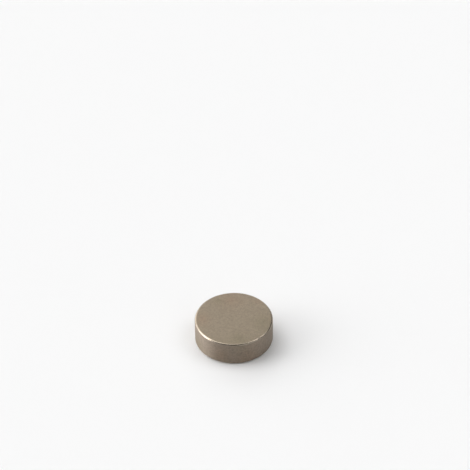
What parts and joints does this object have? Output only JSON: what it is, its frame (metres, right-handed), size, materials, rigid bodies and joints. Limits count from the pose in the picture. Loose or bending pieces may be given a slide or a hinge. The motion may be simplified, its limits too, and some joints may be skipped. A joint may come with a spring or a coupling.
{
  "type": "disc magnet",
  "caption": "Plain round disc magnet of bare sintered alloy with rounded rims, magnetised through its thickness; it holds or closes by its flat pole faces.",
  "frame": {"origin": "middle of the lower pole face", "axes": "+Z along the disc's axis, up, towards the upper pole face"},
  "size_m": [0.015, 0.015, 0.005],
  "materials": {
    "magnet_alloy": "satin"
  },
  "bodies": {
    "root": {"disc": "magnet_alloy"}
  },
  "joints": []
}
